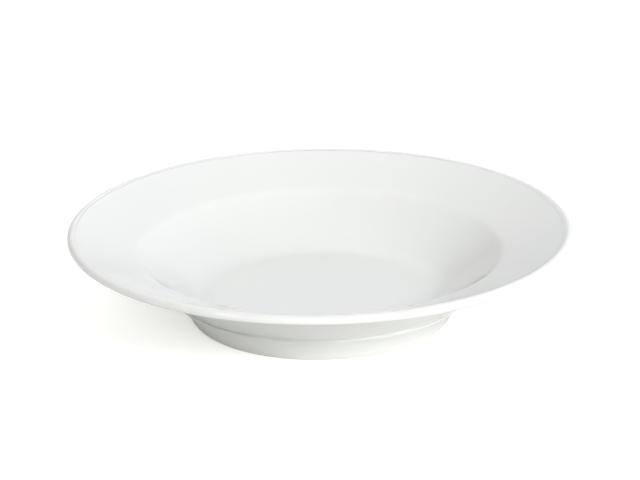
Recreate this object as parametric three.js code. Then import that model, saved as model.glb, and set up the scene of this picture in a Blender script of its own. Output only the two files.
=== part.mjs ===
// Deep plate of white glazed porcelain, formed and fired as one piece.
// A porcelain body carries two thin coats of glaze, parted by the bare ring that the plate stands on.
// Millimetres, +Z up. The plate stands on z = 0 and is round about the Z axis, so each solid is a lathe.
import * as THREE from "three";

// Overall size of the glazed plate
const PLATE_DIAMETER = 240;
const PLATE_HEIGHT = 44.4;

// Rim, from the outer edge to where the lines of rim and well wall meet
const RIM_WIDTH = 33;
const RIM_ANGLE = 20;
const RIM_THICKNESS = 3.9;
const LIP_RISE = 0.35;
const LIP_DROP = 0.15;
const LIP_BLEND_RADIUS = 4;

// Well
const WALL_RUN = 28;
const WELL_EDGE_RADIUS = 12;
const FLOOR_FILLET_RADIUS = 16;
const FLOOR_THICKNESS = 4.8;

// Outside: the wall, the fillet under the rim, the moulded bead and the hollowed foot below it
const WALL_THICKNESS = 4.4;
const UNDER_RIM_RADIUS = 14;
const BEAD_HEIGHT = 12.8;
const BEAD_RADIUS = 0.75;
const BEAD_STANDOFF = 0.7;
const BEAD_PROUD = 0.5;
const CREVICE_RADIUS = 0.4;
const FOOT_RUN = 8.65;
const FOOT_TOP_ANGLE = 48;
const FOOT_BASE_ANGLE = 64;

// Foot ring and the recess under the base
const FOOT_RING_WIDTH = 4;
const FOOT_EDGE_RADIUS = 0.8;
const FOOT_INNER_ANGLE = 65;
const RECESS_DEPTH = 4.7;
const RECESS_FILLET_RADIUS = 2.5;

// Glaze: the gap keeps the facets of a coat and of the body from crossing
const GLAZE_THICKNESS = 0.3;
const GLAZE_LINE_HEIGHT = 1.5;
const COAT_GAP = 0.02;

// Faceting
const LATHE_SEGMENTS = 48;
const CHORD_ERROR = 0.08;

const point = (r, z) => new THREE.Vector2(r, z);

// Unit vector at an angle in degrees, counted from level, outwards and up.
function direction(degrees) {
  const angle = THREE.MathUtils.degToRad(degrees);
  return point(Math.cos(angle), Math.sin(angle));
}

const moved = (start, along, distance) => start.clone().addScaledVector(along, distance);

// The normal on the right hand of a direction. Each outline runs with the porcelain on its right.
const rightOf = (along) => point(along.y, -along.x);

// The point at a given height on the line through start.
function atHeight(start, along, z) {
  return moved(start, along, (z - start.y) / along.y);
}

// The point at a given radius on the line through start.
function atRadius(start, along, r) {
  return moved(start, along, (r - start.x) / along.x);
}

// The point where the lines of two faces cross.
function crossing(face, other) {
  const apart = other.start.clone().sub(face.start);
  return moved(face.start, face.along, apart.cross(other.along) / face.along.cross(other.along));
}

// Points of an arc, as many as keep its chords within CHORD_ERROR of it.
function arc(centre, from, to, clockwise) {
  const radius = from.distanceTo(centre);
  const angleOf = (p) => Math.atan2(p.y - centre.y, p.x - centre.x);
  const curve = new THREE.EllipseCurve(
    centre.x, centre.y, radius, radius, angleOf(from), angleOf(to), clockwise,
  );
  const sweep = curve.getLength() / radius;
  const widest = 2 * Math.acos(1 - CHORD_ERROR / radius);
  return curve.getPoints(Math.max(2, Math.ceil(sweep / widest)));
}

// The arc that rounds the corner between two straight legs.
function rounded(before, corner, after, radius) {
  const back = before.clone().sub(corner).normalize();
  const ahead = after.clone().sub(corner).normalize();
  const half = Math.acos(back.dot(ahead)) / 2;
  const middle = back.clone().add(ahead).normalize();
  const centre = moved(corner, middle, radius / Math.sin(half));
  const reach = radius / Math.tan(half);
  return arc(centre, moved(corner, back, reach), moved(corner, ahead, reach), back.cross(ahead) > 0);
}

// The curve that turns from one straight leg of a corner into the other over their whole length.
function eased(before, corner, after) {
  const bend = before.clone().addScaledVector(corner, -2).add(after).length();
  const steps = Math.ceil(Math.sqrt(bend / (4 * CHORD_ERROR)));
  return new THREE.QuadraticBezierCurve(before, corner, after).getPoints(Math.max(2, steps));
}

// The hollow arc between a straight face and a round that stands proud of it.
// The face is a point, a direction and the normal into the air; way is the side of the round, +1 or -1.
function hollow(face, round, radius, way) {
  const lifted = moved(face.start, face.out, radius);
  const toRound = round.centre.clone().sub(lifted);
  const along = toRound.dot(face.along);
  const across = toRound.dot(face.out);
  const span = Math.sqrt((round.radius + radius) ** 2 - across ** 2);
  const centre = moved(lifted, face.along, along + way * span);
  const outward = centre.clone().sub(round.centre).normalize();
  return {
    centre,
    onFace: moved(centre, face.out, -radius),
    onRound: moved(round.centre, outward, round.radius),
  };
}

// One outline from several runs of points, without the points that two runs share.
function chain(...runs) {
  const sameSpot = 1e-6;
  const kept = [];
  for (const p of runs.flat()) {
    if (!kept.length || p.distanceTo(kept.at(-1)) > sameSpot) kept.push(p);
  }
  return kept;
}

// The outline moved into the porcelain by an even depth, with mitred corners.
function inset(outline, depth) {
  const inward = outline.slice(1).map((p, i) => rightOf(p.clone().sub(outline[i]).normalize()));
  return outline.map((p, i) => {
    const before = inward[Math.max(i - 1, 0)];
    const after = inward[Math.min(i, inward.length - 1)];
    const middle = before.clone().add(after).normalize();
    return moved(p, middle, depth / middle.dot(after));
  });
}

// Rim and lip: the lip is a full round on the end of the sloping rim
const rimAlong = direction(RIM_ANGLE);
const rimUnder = rightOf(rimAlong);
const rimTop = rimUnder.clone().negate();
const lipRadius = (RIM_THICKNESS + LIP_RISE + LIP_DROP) / 2;
const lip = {
  centre: point(PLATE_DIAMETER / 2 - lipRadius, PLATE_HEIGHT - lipRadius),
  radius: lipRadius,
};
const rimUpperFace = {
  start: moved(lip.centre, rimTop, lipRadius - LIP_RISE),
  along: rimAlong,
  out: rimTop,
};
const rimUnderFace = {
  start: moved(lip.centre, rimUnder, lipRadius - LIP_DROP),
  along: rimAlong,
  out: rimUnder,
};
const lipTopHollow = hollow(rimUpperFace, lip, LIP_BLEND_RADIUS, -1);
const lipUnderHollow = hollow(rimUnderFace, lip, LIP_BLEND_RADIUS, -1);

// Well: a flat floor, a straight wall and the rim, with rounded corners
const wellEdge = atRadius(rimUpperFace.start, rimAlong, PLATE_DIAMETER / 2 - RIM_WIDTH);
const floorHeight = RECESS_DEPTH + FLOOR_THICKNESS;
const floorCentre = point(0, floorHeight);
const floorCorner = point(wellEdge.x - WALL_RUN, floorHeight);
const wallAlong = wellEdge.clone().sub(floorCorner).normalize();

// Outer wall: one wall thickness from the well
const wallFace = {
  start: moved(floorCorner, rightOf(wallAlong), WALL_THICKNESS),
  along: wallAlong,
  out: rightOf(wallAlong),
};
const underRimCorner = crossing(rimUnderFace, wallFace);

// Bead in the corner between wall and foot
const beadOffset = WALL_THICKNESS + BEAD_STANDOFF;
const beadLine = moved(floorCorner, wallFace.out, beadOffset);
const bead = { centre: atHeight(beadLine, wallAlong, BEAD_HEIGHT), radius: BEAD_RADIUS };

// Foot: a face that leans in under the bead and steepens towards the table, and the inner face of the ring
const footTopAlong = direction(FOOT_TOP_ANGLE);
const footTopFace = {
  start: moved(bead.centre, rightOf(footTopAlong), BEAD_RADIUS - BEAD_PROUD),
  along: footTopAlong,
  out: rightOf(footTopAlong),
};
const footToe = point(bead.centre.x - FOOT_RUN, 0);
const footBaseAlong = direction(FOOT_BASE_ANGLE);
const footCorner = crossing(footTopFace, { start: footToe, along: footBaseAlong });
const wallCrevice = hollow(wallFace, bead, CREVICE_RADIUS, 1);
const footCrevice = hollow(footTopFace, bead, CREVICE_RADIUS, -1);
const outerGlazeLine = atHeight(footToe, footBaseAlong, GLAZE_LINE_HEIGHT);
const innerAlong = direction(180 - FOOT_INNER_ANGLE);
const footHeel = point(footToe.x - FOOT_RING_WIDTH, 0);
const innerGlazeLine = atHeight(footHeel, innerAlong, GLAZE_LINE_HEIGHT);
const recessCorner = atHeight(footHeel, innerAlong, RECESS_DEPTH);
const recessCentre = point(0, RECESS_DEPTH);

// Glazed surface from the middle of the well, over the lip and down the outside to the glaze line
const outerSurface = chain(
  [floorCentre],
  rounded(floorCentre, floorCorner, wellEdge, FLOOR_FILLET_RADIUS),
  rounded(floorCorner, wellEdge, lipTopHollow.onFace, WELL_EDGE_RADIUS),
  arc(lipTopHollow.centre, lipTopHollow.onFace, lipTopHollow.onRound, false),
  arc(lip.centre, lipTopHollow.onRound, lipUnderHollow.onRound, true),
  arc(lipUnderHollow.centre, lipUnderHollow.onRound, lipUnderHollow.onFace, false),
  rounded(lipUnderHollow.onFace, underRimCorner, wallCrevice.onFace, UNDER_RIM_RADIUS),
  arc(wallCrevice.centre, wallCrevice.onFace, wallCrevice.onRound, false),
  arc(bead.centre, wallCrevice.onRound, footCrevice.onRound, true),
  arc(footCrevice.centre, footCrevice.onRound, footCrevice.onFace, false),
  eased(footCrevice.onFace, footCorner, outerGlazeLine),
);

// Glazed surface under the base, from the glaze line inside the foot to the middle
const baseSurface = chain(
  [innerGlazeLine],
  rounded(innerGlazeLine, recessCorner, recessCentre, RECESS_FILLET_RADIUS),
  [recessCentre],
);

// Body: both surfaces without their glaze, joined by the bare standing ring
const bodyDepth = GLAZE_THICKNESS + COAT_GAP;
const bodyOuter = inset(outerSurface, bodyDepth);
const bodyBase = inset(baseSurface, bodyDepth);
const bareToe = atHeight(bodyOuter.at(-1), footBaseAlong, 0);
const bareHeel = atHeight(bodyBase[0], innerAlong, 0);
const bodyOutline = chain(
  bodyOuter,
  rounded(bodyOuter.at(-1), bareToe, bareHeel, FOOT_EDGE_RADIUS),
  rounded(bareToe, bareHeel, bodyBase[0], FOOT_EDGE_RADIUS),
  bodyBase,
);

// Coats: each lies between its surface and the same line one glaze thickness in, from axis to axis
const outerCoatOutline = chain(outerSurface, inset(outerSurface, GLAZE_THICKNESS).reverse());
const baseCoatOutline = chain(inset(baseSurface, GLAZE_THICKNESS).reverse(), baseSurface);

const porcelain = new THREE.MeshStandardMaterial({ color: 0xe8e4da, roughness: 0.75, metalness: 0 });
const glaze = new THREE.MeshStandardMaterial({ color: 0xf1f3f0, roughness: 0.08, metalness: 0 });

// Turns an outline, which runs clockwise round its solid, about the Z axis.
function turned(name, outline, material) {
  const geometry = new THREE.LatheGeometry([...outline].reverse(), LATHE_SEGMENTS);
  const mesh = new THREE.Mesh(geometry, material);
  mesh.name = name;
  mesh.rotation.x = Math.PI / 2;
  return mesh;
}

const plate = new THREE.Group();
plate.add(turned("porcelain_body", bodyOutline, porcelain));
plate.add(turned("outer_glaze_coat", outerCoatOutline, glaze));
plate.add(turned("base_glaze_coat", baseCoatOutline, glaze.clone()));

export default plate;
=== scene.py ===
"""Deep plate of white glazed porcelain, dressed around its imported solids, on a white table in soft light.

Metres, +Z up. The plate stands on z = 0 and is round about the Z axis.
"""
import math

import bpy
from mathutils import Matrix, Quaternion, Vector


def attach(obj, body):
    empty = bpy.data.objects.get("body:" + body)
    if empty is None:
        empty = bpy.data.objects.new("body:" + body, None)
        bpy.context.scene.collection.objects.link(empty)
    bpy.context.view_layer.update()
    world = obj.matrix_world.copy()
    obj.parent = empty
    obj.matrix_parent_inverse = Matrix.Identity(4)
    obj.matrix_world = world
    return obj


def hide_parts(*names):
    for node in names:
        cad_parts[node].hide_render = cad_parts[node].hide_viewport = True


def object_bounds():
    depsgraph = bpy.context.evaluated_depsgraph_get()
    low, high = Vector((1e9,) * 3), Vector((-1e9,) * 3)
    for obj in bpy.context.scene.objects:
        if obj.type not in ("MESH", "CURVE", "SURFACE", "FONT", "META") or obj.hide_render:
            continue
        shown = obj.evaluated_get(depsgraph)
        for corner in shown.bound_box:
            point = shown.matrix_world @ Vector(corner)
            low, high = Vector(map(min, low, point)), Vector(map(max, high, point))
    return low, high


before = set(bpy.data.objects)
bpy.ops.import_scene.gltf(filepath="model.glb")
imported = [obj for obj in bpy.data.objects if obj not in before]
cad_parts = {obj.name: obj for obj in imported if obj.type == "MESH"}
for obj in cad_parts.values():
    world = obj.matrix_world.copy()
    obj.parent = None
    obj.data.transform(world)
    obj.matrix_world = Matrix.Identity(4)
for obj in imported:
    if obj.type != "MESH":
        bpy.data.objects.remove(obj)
cad_low, cad_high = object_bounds()

MM = 0.001

# Overall size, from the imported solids
PLATE_RADIUS = (cad_high.x - cad_low.x) / 2
PLATE_HEIGHT = cad_high.z

# Rim, from the outer edge to where the lines of rim and well wall meet
RIM_WIDTH = 33 * MM
RIM_ANGLE = 20
RIM_THICKNESS = 3.9 * MM
LIP_RISE = 0.35 * MM
LIP_DROP = 0.15 * MM
LIP_BLEND_RADIUS = 4 * MM

# Well
WALL_RUN = 28 * MM
WELL_EDGE_RADIUS = 12 * MM
FLOOR_FILLET_RADIUS = 16 * MM
FLOOR_THICKNESS = 4.8 * MM

# Outside: the wall, the fillet under the rim, the moulded bead and the slightly hollow foot below it
WALL_THICKNESS = 4.4 * MM
UNDER_RIM_RADIUS = 14 * MM
BEAD_HEIGHT = 12.8 * MM
BEAD_RADIUS = 0.75 * MM
BEAD_STANDOFF = 0.7 * MM
BEAD_PROUD = 0.5 * MM
CREVICE_RADIUS = 0.4 * MM
FOOT_RUN = 8.65 * MM
FOOT_TOP_ANGLE = 48
FOOT_BASE_ANGLE = 64

# Foot ring and the recess under the base
FOOT_RING_WIDTH = 4 * MM
FOOT_EDGE_RADIUS = 0.8 * MM
FOOT_INNER_ANGLE = 65
RECESS_DEPTH = 4.7 * MM
RECESS_FILLET_RADIUS = 2.5 * MM

# Glaze
GLAZE_THICKNESS = 0.3 * MM
GLAZE_EDGE_RADIUS = 0.22 * MM
GLAZE_LINE_HEIGHT = 1.5 * MM
COAT_GAP = 0.02 * MM

# The glaze line wanders round the foot, and the glaze pools in hollows and thins over edges
GLAZE_WANDER = 0.2 * MM
GLAZE_WANDER_REACH = 1.4 * MM
GLAZE_WANDER_WAVES = ((3, 0.4, 0.5), (7, 2.1, 0.3), (16, 4.0, 0.2))
POOLING_REACH = 1.5 * MM
POOLING_RADIUS = 2.5 * MM

# Fineness of the turned meshes
TURN_STEPS = 288
CHORD_ERROR = 0.005 * MM
LONGEST_STEP = 2.5 * MM

# Looks of the glaze: its whites, its tint from edge to pool, its gloss and its faintly uneven surface.
# Colours stand beside the place in the pattern where they lie
GLAZE_CLOUD_SIZE = 45 * MM
GLAZE_WHITES = ((0.3, (0.752, 0.768, 0.752)), (0.7, (0.772, 0.780, 0.764)))
POOLING_TINTS = ((0.1, (1.0, 0.995, 0.985)), (0.5, (0.985, 0.985, 0.985)), (0.9, (0.95, 0.965, 0.96)))
GLAZE_ROUGHNESS = (0.05, 0.10)
GLAZE_WAVE_SIZE = 18 * MM
GLAZE_WAVE_DEPTH = 0.018 * MM
GLAZE_PEEL_SIZE = 2.2 * MM
GLAZE_PEEL_DEPTH = 0.0025 * MM
GLAZE_IOR = 1.52

# Looks of the bare porcelain: cloudy clay with fine, slightly darker grit
CLAY_CLOUD_SIZE = 6 * MM
CLAY_COLOURS = ((0.3, (0.71, 0.70, 0.675)), (0.7, (0.77, 0.762, 0.74)))
CLAY_ROUGHNESS = (0.72, 0.9)
GRIT_SIZE = 0.35 * MM
GRIT_DEPTH = 0.05 * MM
GRIT_TINTS = ((0.25, (0.86, 0.85, 0.83)), (0.42, (1.0, 1.0, 1.0)))

# The range that holds most of a noise pattern
NOISE_MIDDLE = (0.3, 0.7)

# Camera: the viewpoint that the ellipses of lip, bead and foot give
CAMERA_DISTANCE = 1.2
CAMERA_ELEVATION = math.radians(21.55)
CAMERA_AIM = Vector((0, 0, 0.0364))
CAMERA_ROLL = math.radians(-0.7)
CAMERA_LENS_MM = 139.85
SENSOR_WIDTH_MM = 36

# Studio: a white table, faintly warm, and soft lights all round. The table lights the plate with a little
# glow, and is itself seen with more, so that it shows white and its shadow stays faint. Each light has a
# name, azimuth (0 is the front, 90 the right), elevation, tightness, strength and colour
TABLE_REACH = 4.0
TABLE_ROUGHNESS = 0.9
TABLE_WHITE = (0.8, 0.8, 0.775)
TABLE_GLOW_COLOUR = (1.0, 1.0, 0.975)
TABLE_GLOW = 0.06
TABLE_GLOW_SEEN = 0.45
NEUTRAL = (1.0, 1.0, 1.0)
COOL = (0.92, 1.0, 1.06)
SOFT_LIGHTS = (
    ("key", 34, 29, 240, 76.0, NEUTRAL),
    ("front", -6, 29, 240, 30.0, NEUTRAL),
    ("front left", -45, 29, 240, 16.0, NEUTRAL),
    ("low right", 62, 3, 120, 30.0, NEUTRAL),
    ("top", 212, 65, 6, 1.2, NEUTRAL),
    ("back left", 230, 38, 6, 0.7, NEUTRAL),
    ("backdrop", 180, 12, 6, 0.7, NEUTRAL),
    ("back right", 135, 13, 6, 1.1, COOL),
)


def direction(degrees):
    """Unit vector at an angle counted from level, outwards and up."""
    angle = math.radians(degrees)
    return Vector((math.cos(angle), math.sin(angle)))


def right_of(along):
    """The normal on the right hand of a direction. Each outline runs with the porcelain on its right."""
    return Vector((along.y, -along.x))


def at_height(start, along, z):
    """The point at a given height on the line through start."""
    return start + along * ((z - start.y) / along.y)


def at_radius(start, along, r):
    """The point at a given radius on the line through start."""
    return start + along * ((r - start.x) / along.x)


class Face:
    """A straight stretch of the profile: a point on it, its direction and its normal into the air."""

    def __init__(self, start, along, out):
        self.start = start
        self.along = along
        self.out = out

    def crossing(self, other):
        """The point where the lines of two faces cross."""
        apart = other.start - self.start
        return self.start + self.along * (apart.cross(other.along) / self.along.cross(other.along))


class Round:
    """A round of the profile: its centre and radius."""

    def __init__(self, centre, radius):
        self.centre = centre
        self.radius = radius


def straight(start, end):
    """Points of a straight run, close enough together to carry the finer shape of the glaze."""
    steps = max(1, math.ceil((end - start).length / LONGEST_STEP))
    return [start.lerp(end, i / steps) for i in range(steps + 1)]


def arc(centre, start, end, clockwise):
    """Points of an arc, as many as keep its chords within CHORD_ERROR of it."""
    radius = (start - centre).length
    first = math.atan2(start.y - centre.y, start.x - centre.x)
    last = math.atan2(end.y - centre.y, end.x - centre.x)
    sweep = (first - last if clockwise else last - first) % (2 * math.pi)
    widest = 2 * math.acos(1 - CHORD_ERROR / radius)
    steps = max(2, math.ceil(sweep / widest))
    turn = -sweep if clockwise else sweep
    angles = [math.degrees(first + turn * i / steps) for i in range(steps + 1)]
    return [centre + direction(angle) * radius for angle in angles]


def rounded(before, corner, after, radius):
    """The arc that rounds the corner between two straight legs."""
    back = (before - corner).normalized()
    ahead = (after - corner).normalized()
    half = math.acos(back.dot(ahead)) / 2
    centre = corner + (back + ahead).normalized() * (radius / math.sin(half))
    reach = radius / math.tan(half)
    return arc(centre, corner + back * reach, corner + ahead * reach, back.cross(ahead) > 0)


def eased(before, corner, after):
    """The curve that turns from one straight leg of a corner into the other over their whole length."""
    bend = (before - corner * 2 + after).length
    steps = max(2, math.ceil(math.sqrt(bend / (4 * CHORD_ERROR))))
    shares = [i / steps for i in range(steps + 1)]
    return [before.lerp(corner, t).lerp(corner.lerp(after, t), t) for t in shares]


class Hollow:
    """The hollow arc between a straight face and a round that stands proud of it.

    It lies further along the face than the round (way +1) or short of it (way -1).
    """

    def __init__(self, face, round_, radius, way):
        lifted = face.start + face.out * radius
        to_round = round_.centre - lifted
        span = math.sqrt((round_.radius + radius) ** 2 - to_round.dot(face.out) ** 2)
        self.centre = lifted + face.along * (to_round.dot(face.along) + way * span)
        self.on_face = self.centre - face.out * radius
        self.on_round = round_.centre + (self.centre - round_.centre).normalized() * round_.radius


def chain(*runs):
    """One outline from several runs of points, with straight runs between them and no point twice."""
    same_spot = 1e-9
    kept = list(runs[0])
    for run in runs[1:]:
        for p in straight(kept[-1], run[0]) + list(run):
            if (p - kept[-1]).length > same_spot:
                kept.append(p)
    return kept


def inset(outline, depth):
    """The outline moved into the porcelain by an even depth, with mitred corners."""
    inward = [right_of((b - a).normalized()) for a, b in zip(outline, outline[1:])]
    moved = []
    for i, p in enumerate(outline):
        before = inward[max(i - 1, 0)]
        after = inward[min(i, len(inward) - 1)]
        middle = (before + after).normalized()
        moved.append(p + middle * (depth / middle.dot(after)))
    return moved


# Rim and lip: the lip is a full round on the end of the sloping rim
rim_along = direction(RIM_ANGLE)
rim_under = right_of(rim_along)
lip_radius = (RIM_THICKNESS + LIP_RISE + LIP_DROP) / 2
lip = Round(Vector((PLATE_RADIUS - lip_radius, PLATE_HEIGHT - lip_radius)), lip_radius)
rim_upper_face = Face(lip.centre - rim_under * (lip_radius - LIP_RISE), rim_along, -rim_under)
rim_under_face = Face(lip.centre + rim_under * (lip_radius - LIP_DROP), rim_along, rim_under)
lip_top_hollow = Hollow(rim_upper_face, lip, LIP_BLEND_RADIUS, -1)
lip_under_hollow = Hollow(rim_under_face, lip, LIP_BLEND_RADIUS, -1)

# Well: a flat floor, a straight wall and the rim, with rounded corners
well_edge = at_radius(rim_upper_face.start, rim_along, PLATE_RADIUS - RIM_WIDTH)
floor_height = RECESS_DEPTH + FLOOR_THICKNESS
floor_centre = Vector((0, floor_height))
floor_corner = Vector((well_edge.x - WALL_RUN, floor_height))
wall_along = (well_edge - floor_corner).normalized()

# Outer wall: one wall thickness from the well
wall_out = right_of(wall_along)
wall_face = Face(floor_corner + wall_out * WALL_THICKNESS, wall_along, wall_out)
under_rim_corner = rim_under_face.crossing(wall_face)

# Bead in the corner between wall and foot
bead_line = floor_corner + wall_out * (WALL_THICKNESS + BEAD_STANDOFF)
bead = Round(at_height(bead_line, wall_along, BEAD_HEIGHT), BEAD_RADIUS)

# Foot: a face that leans in under the bead and steepens towards the table, and the inner face of the ring
foot_top_along = direction(FOOT_TOP_ANGLE)
foot_top_out = right_of(foot_top_along)
foot_top_start = bead.centre + foot_top_out * (BEAD_RADIUS - BEAD_PROUD)
foot_top_face = Face(foot_top_start, foot_top_along, foot_top_out)
foot_toe = Vector((bead.centre.x - FOOT_RUN, 0))
foot_base_along = direction(FOOT_BASE_ANGLE)
foot_base_face = Face(foot_toe, foot_base_along, right_of(foot_base_along))
foot_corner = foot_top_face.crossing(foot_base_face)
wall_crevice = Hollow(wall_face, bead, CREVICE_RADIUS, 1)
foot_crevice = Hollow(foot_top_face, bead, CREVICE_RADIUS, -1)
outer_glaze_line = at_height(foot_toe, foot_base_along, GLAZE_LINE_HEIGHT)
inner_along = direction(180 - FOOT_INNER_ANGLE)
foot_heel = Vector((foot_toe.x - FOOT_RING_WIDTH, 0))
inner_glaze_line = at_height(foot_heel, inner_along, GLAZE_LINE_HEIGHT)
recess_corner = at_height(foot_heel, inner_along, RECESS_DEPTH)
recess_centre = Vector((0, RECESS_DEPTH))

# Glazed surface from the middle of the well, over the lip and down the outside to the glaze line
outer_surface = chain(
    [floor_centre],
    rounded(floor_centre, floor_corner, well_edge, FLOOR_FILLET_RADIUS),
    rounded(floor_corner, well_edge, lip_top_hollow.on_face, WELL_EDGE_RADIUS),
    arc(lip_top_hollow.centre, lip_top_hollow.on_face, lip_top_hollow.on_round, False),
    arc(lip.centre, lip_top_hollow.on_round, lip_under_hollow.on_round, True),
    arc(lip_under_hollow.centre, lip_under_hollow.on_round, lip_under_hollow.on_face, False),
    rounded(lip_under_hollow.on_face, under_rim_corner, wall_crevice.on_face, UNDER_RIM_RADIUS),
    arc(wall_crevice.centre, wall_crevice.on_face, wall_crevice.on_round, False),
    arc(bead.centre, wall_crevice.on_round, foot_crevice.on_round, True),
    arc(foot_crevice.centre, foot_crevice.on_round, foot_crevice.on_face, False),
    eased(foot_crevice.on_face, foot_corner, outer_glaze_line),
)

# Glazed surface under the base, from the glaze line inside the foot to the middle
base_surface = chain(
    [inner_glaze_line],
    rounded(inner_glaze_line, recess_corner, recess_centre, RECESS_FILLET_RADIUS),
    [recess_centre],
)

# Body: both surfaces without their glaze, joined by the bare standing ring
body_outer = inset(outer_surface, GLAZE_THICKNESS + COAT_GAP)
body_base = inset(base_surface, GLAZE_THICKNESS + COAT_GAP)
bare_toe = at_height(body_outer[-1], foot_base_along, 0)
bare_heel = at_height(body_base[0], inner_along, 0)
body_outline = chain(
    body_outer,
    rounded(body_outer[-1], bare_toe, bare_heel, FOOT_EDGE_RADIUS),
    rounded(bare_toe, bare_heel, body_base[0], FOOT_EDGE_RADIUS),
    body_base,
)

# Coats: each lies between its surface and the same line one glaze thickness in, with a rounded edge
outer_coat_inside = inset(outer_surface, GLAZE_THICKNESS)
outer_coat_edge = rounded(
    outer_surface[-2], outer_glaze_line, outer_coat_inside[-1], GLAZE_EDGE_RADIUS
)
outer_coat_outline = chain(outer_surface[:-1], outer_coat_edge, outer_coat_inside[::-1])
base_coat_inside = inset(base_surface, GLAZE_THICKNESS)
base_coat_edge = rounded(base_coat_inside[0], inner_glaze_line, base_surface[1], GLAZE_EDGE_RADIUS)
base_coat_outline = chain(base_coat_inside[::-1], base_coat_edge, base_surface[1:])


def wander(turn):
    """How far the glaze line strays at an angle round the foot, from -1 to 1."""
    return sum(share * math.sin(count * turn + phase) for count, phase, share in GLAZE_WANDER_WAVES)


def pooling(outline):
    """How deep the glaze lies at each point: 0.5 on even faces, towards 1 in hollows and 0 over edges."""
    runs = [0.0]
    for a, b in zip(outline, outline[1:]):
        runs.append(runs[-1] + (b - a).length)
    bends = [0.0]
    for before, p, after in zip(outline, outline[1:], outline[2:]):
        bends.append((p - before).angle_signed(after - p, 0.0))
    bends.append(0.0)
    depths = []
    for here in runs:
        turn = 0.0
        for there, bend in zip(runs, bends):
            nearness = math.exp(-(((there - here) / POOLING_REACH) ** 2))
            turn -= bend * nearness
        curvature = turn / (POOLING_REACH * math.sqrt(math.pi))
        depths.append(0.5 + 0.5 * math.tanh(curvature * POOLING_RADIUS))
    return depths


def turned(name, outline, glaze_line=None, glaze_along=None):
    """A closed mesh made by turning an outline, from axis to axis, about the Z axis.

    Near a glaze line the points stray along the face, by an amount that changes round the foot.
    """
    on_axis = 1e-9
    angles = [2 * math.pi * step / TURN_STEPS for step in range(TURN_STEPS)]
    vertices = []
    rings = []
    depths = []
    for p, depth in zip(outline, pooling(outline)):
        first = len(vertices)
        if p.x < on_axis:
            vertices.append((0, 0, p.y))
            rings.append([first] * TURN_STEPS)
        else:
            stray = Vector((0, 0))
            if glaze_line:
                nearness = max(0, 1 - (p - glaze_line).length / GLAZE_WANDER_REACH)
                stray = glaze_along * (GLAZE_WANDER * nearness**2)
            for angle in angles:
                r, z = p + stray * wander(angle)
                vertices.append((r * math.cos(angle), r * math.sin(angle), z))
            rings.append(list(range(first, first + TURN_STEPS)))
        depths.extend([depth] * (len(vertices) - first))
    faces = []
    for ring, following in zip(rings, rings[1:]):
        for step in range(TURN_STEPS):
            beside = (step + 1) % TURN_STEPS
            corners = (ring[step], following[step], following[beside], ring[beside])
            faces.append(tuple(dict.fromkeys(corners)))
    mesh = bpy.data.meshes.new(name)
    mesh.from_pydata(vertices, [], faces)
    mesh.shade_smooth()
    mesh.attributes.new("glaze_depth", "FLOAT", "POINT").data.foreach_set("value", depths)
    piece = bpy.data.objects.new(name, mesh)
    bpy.context.scene.collection.objects.link(piece)
    return piece


def add_node(tree, kind, inputs, **settings):
    """A shader node with its settings; each input is linked to a socket or set to a value."""
    node = tree.nodes.new("ShaderNode" + kind)
    for name, value in settings.items():
        setattr(node, name, value)
    for name, value in inputs.items():
        if isinstance(value, bpy.types.NodeSocket):
            tree.links.new(value, node.inputs[name])
        else:
            node.inputs[name].default_value = value
    return node


def new_material(name):
    """A material, its node tree and the Principled BSDF in it."""
    material = bpy.data.materials.new(name)
    material.use_nodes = True
    tree = material.node_tree
    tree.nodes.clear()
    shader = add_node(tree, "BsdfPrincipled", {})
    add_node(tree, "OutputMaterial", {"Surface": shader.outputs["BSDF"]})
    return material, tree, shader


def place_on_piece(tree):
    """The object coordinates that patterns follow."""
    return add_node(tree, "TexCoord", {}).outputs["Object"]


def noise(tree, place, size, detail=2.0):
    """Cloudy noise from 0 to 1 whose blots are about size across."""
    inputs = {"Vector": place, "Scale": 1 / size, "Detail": detail}
    return add_node(tree, "TexNoise", inputs).outputs["Fac"]


def ramp(tree, value, stops):
    """Colours that run with a value, from positions with their colours."""
    node = add_node(tree, "ValToRGB", {"Fac": value})
    elements = node.color_ramp.elements
    while len(elements) < len(stops):
        elements.new(1.0)
    for element, (position, colour) in zip(elements, stops):
        element.position = position
        element.color = (*colour, 1)
    return node.outputs["Color"]


def spread(tree, value, low, high):
    """The middle of a noise spread over a range of numbers."""
    least, most = NOISE_MIDDLE
    inputs = {"Value": value, "From Min": least, "From Max": most, "To Min": low, "To Max": high}
    return add_node(tree, "MapRange", inputs).outputs["Result"]


def tinted(tree, colour, tint):
    """A colour multiplied by a tint."""
    return add_node(tree, "VectorMath", {0: colour, 1: tint}, operation="MULTIPLY").outputs["Vector"]


def bumped(tree, height, depth, normal=None):
    """A normal bent by a height pattern from 0 to 1 that is depth tall."""
    inputs = {"Height": height, "Distance": depth, "Strength": 1.0}
    if normal:
        inputs["Normal"] = normal
    return add_node(tree, "Bump", inputs).outputs["Normal"]


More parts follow.
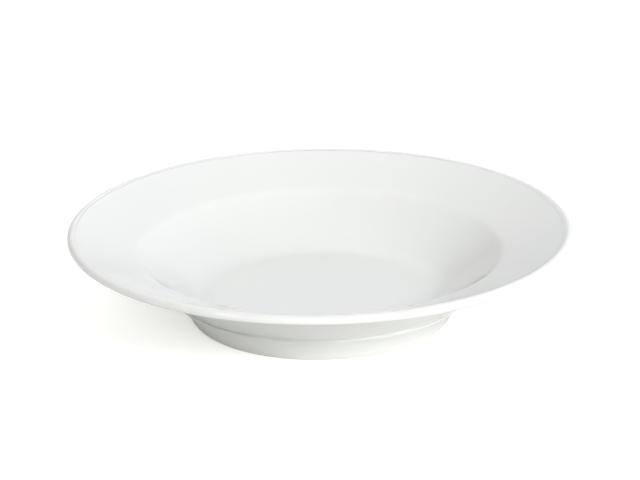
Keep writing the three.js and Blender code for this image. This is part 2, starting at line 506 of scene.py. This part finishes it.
def glaze_material():
    """Glossy white glaze: cool where it pools, whiter over edges, with a faintly uneven surface."""
    material, tree, shader = new_material("white_glaze")
    place = place_on_piece(tree)
    white = ramp(tree, noise(tree, place, GLAZE_CLOUD_SIZE, detail=3.0), GLAZE_WHITES)
    depth = add_node(tree, "Attribute", {}, attribute_name="glaze_depth").outputs["Fac"]
    colour = tinted(tree, white, ramp(tree, depth, POOLING_TINTS))
    tree.links.new(colour, shader.inputs["Base Color"])
    unevenness = noise(tree, place, GLAZE_WAVE_SIZE)
    tree.links.new(spread(tree, unevenness, *GLAZE_ROUGHNESS), shader.inputs["Roughness"])
    waves = bumped(tree, unevenness, GLAZE_WAVE_DEPTH)
    peel = bumped(tree, noise(tree, place, GLAZE_PEEL_SIZE), GLAZE_PEEL_DEPTH, waves)
    tree.links.new(peel, shader.inputs["Normal"])
    shader.inputs["IOR"].default_value = GLAZE_IOR
    return material


def bare_material():
    """Bare fired porcelain: matt, slightly warm and finely grained."""
    material, tree, shader = new_material("bare_porcelain")
    place = place_on_piece(tree)
    clouds = noise(tree, place, CLAY_CLOUD_SIZE, detail=4.0)
    grit = noise(tree, place, GRIT_SIZE, detail=3.0)
    colour = tinted(tree, ramp(tree, clouds, CLAY_COLOURS), ramp(tree, grit, GRIT_TINTS))
    tree.links.new(colour, shader.inputs["Base Color"])
    tree.links.new(spread(tree, clouds, *CLAY_ROUGHNESS), shader.inputs["Roughness"])
    tree.links.new(bumped(tree, grit, GRIT_DEPTH), shader.inputs["Normal"])
    return material


def add_piece(name, outline, material, node, slot, *glaze_edge):
    """A turned piece that stands in for a node of the CAD part."""
    piece = turned(name, outline, *glaze_edge)
    piece.data.materials.append(material)
    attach(piece, "root")
    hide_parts(node)


def make_camera():
    """The camera, in front of the plate and above it."""
    data = bpy.data.cameras.new("camera")
    data.sensor_width = SENSOR_WIDTH_MM
    data.lens = CAMERA_LENS_MM
    camera = bpy.data.objects.new("camera", data)
    level = CAMERA_DISTANCE * math.cos(CAMERA_ELEVATION)
    camera.location = (0, -level, CAMERA_DISTANCE * math.sin(CAMERA_ELEVATION))
    towards = (CAMERA_AIM - camera.location).to_track_quat("-Z", "Y")
    camera.rotation_mode = "QUATERNION"
    camera.rotation_quaternion = towards @ Quaternion((0, 0, 1), CAMERA_ROLL)
    bpy.context.scene.collection.objects.link(camera)
    bpy.context.scene.camera = camera


def make_floor():
    """The table top that the plate stands on."""
    mesh = bpy.data.meshes.new("floor")
    reach = TABLE_REACH
    corners = [(-reach, -reach, 0), (reach, -reach, 0), (reach, reach, 0), (-reach, reach, 0)]
    mesh.from_pydata(corners, [], [(0, 1, 2, 3)])
    floor = bpy.data.objects.new("floor", mesh)
    bpy.context.scene.collection.objects.link(floor)
    material, tree, shader = new_material("white_table")
    shader.inputs["Base Color"].default_value = (*TABLE_WHITE, 1)
    shader.inputs["Roughness"].default_value = TABLE_ROUGHNESS
    shader.inputs["Specular IOR Level"].default_value = 0.0
    shader.inputs["Emission Color"].default_value = (*TABLE_GLOW_COLOUR, 1)
    seen = add_node(tree, "LightPath", {}).outputs["Is Camera Ray"]
    glow = {"Value": seen, "To Min": TABLE_GLOW, "To Max": TABLE_GLOW_SEEN}
    glowing = add_node(tree, "MapRange", glow).outputs["Result"]
    tree.links.new(glowing, shader.inputs["Emission Strength"])
    mesh.materials.append(material)


def make_world():
    """A studio of soft lights, each of which fades evenly away from its own direction."""
    world = bpy.data.worlds.new("studio")
    bpy.context.scene.world = world
    world.use_nodes = True
    tree = world.node_tree
    view = add_node(tree, "TexCoord", {}).outputs["Generated"]
    total = (0, 0, 0)
    for name, azimuth, elevation, tightness, strength, colour in SOFT_LIGHTS:
        turn = math.radians(azimuth)
        climb = math.radians(elevation)
        level = math.cos(climb)
        towards = (math.sin(turn) * level, -math.cos(turn) * level, math.sin(climb))
        facing = add_node(tree, "VectorMath", {0: view, 1: towards}, operation="DOT_PRODUCT", label=name)
        near = add_node(tree, "Math", {0: facing.outputs["Value"], 1: 0.0}, operation="MAXIMUM")
        glow = add_node(tree, "Math", {0: near.outputs[0], 1: tightness}, operation="POWER")
        brightness = [strength * share for share in colour]
        inputs = {0: glow.outputs[0], 1: brightness, 2: total}
        total = add_node(tree, "VectorMath", inputs, operation="MULTIPLY_ADD").outputs["Vector"]
    tree.links.new(total, tree.nodes["Background"].inputs["Color"])


make_camera()
make_floor()
make_world()
bpy.context.scene.view_settings.view_transform = "Standard"

glaze = glaze_material()
bare = bare_material()
add_piece("porcelain_foot_and_body", body_outline, bare, "porcelain_body", "bare_porcelain")
outer_edge = (outer_glaze_line, foot_base_along)
add_piece("outer_glaze", outer_coat_outline, glaze, "outer_glaze_coat", "white_glaze", *outer_edge)
base_edge = (inner_glaze_line, inner_along)
add_piece("base_glaze", base_coat_outline, glaze, "base_glaze_coat", "white_glaze", *base_edge)
